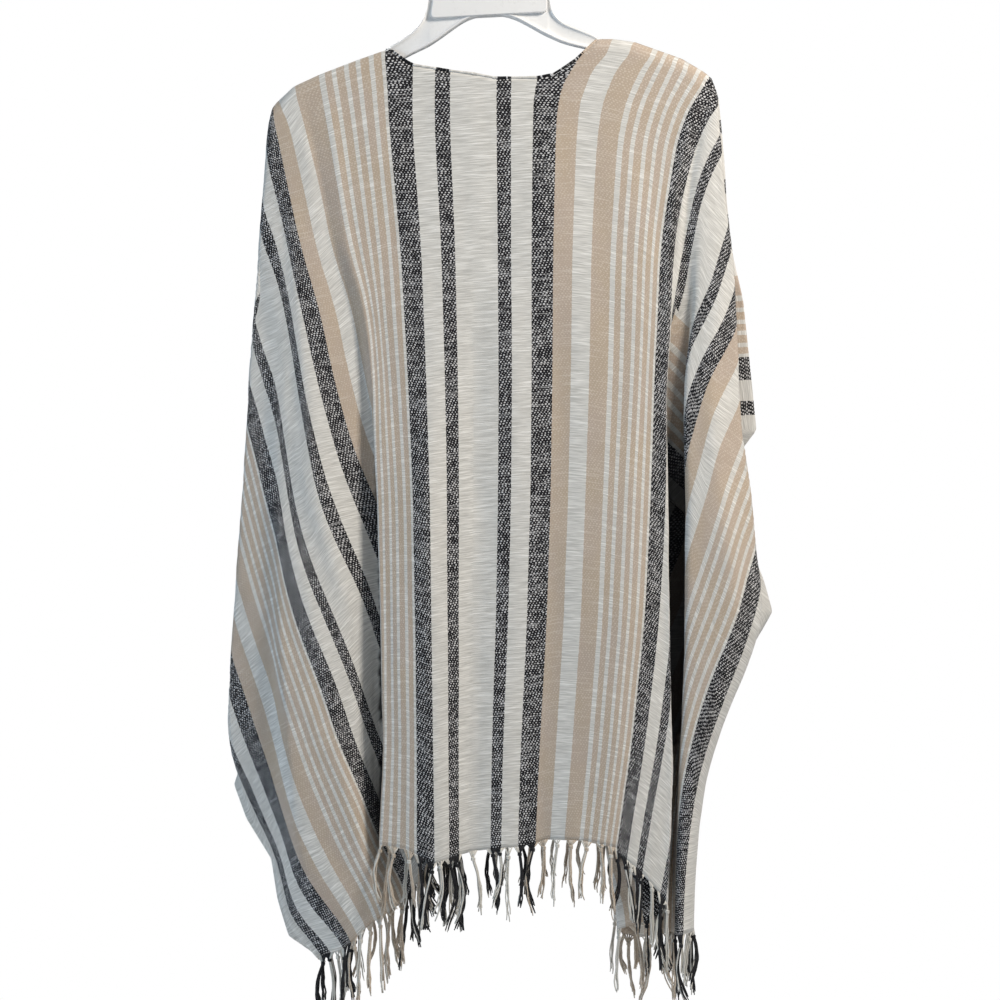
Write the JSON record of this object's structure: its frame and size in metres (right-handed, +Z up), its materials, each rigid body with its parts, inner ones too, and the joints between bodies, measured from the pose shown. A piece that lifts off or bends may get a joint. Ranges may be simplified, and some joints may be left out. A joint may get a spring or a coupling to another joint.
{
  "type": "striped kimono cardigan on a hanger",
  "caption": "Open-front woven kimono cardigan in vertical stripes with a knotted fringe along the hem, hanging in soft folds from a plain clothes hanger.",
  "frame": {"origin": "underside of the hanger's hook where it rests on a rail, the point that the garment hangs from", "axes": "+Z up; +Y out of the wearer's back, towards the picture's camera; +X the image's left, which is the wearer's left side"},
  "size_m": [0.5259, 0.1194, 1.0994],
  "materials": {
    "cloth": "matte open cotton weave in white, beige and black stripes",
    "neck_edge": "matte rolled cotton edge",
    "fringe": "matte knotted cotton yarn",
    "hanger": "smooth white plastic",
    "hook": "polished wire"
  },
  "bodies": {
    "root": {"back_panel": "cloth", "front_left": "cloth", "front_right": "cloth", "neck_edge": "neck_edge", "fringe_back": "fringe", "fringe_front_left": "fringe", "fringe_front_right": "fringe", "hanger_body": "hanger", "hanger_hook": "hook"}
  },
  "joints": []
}
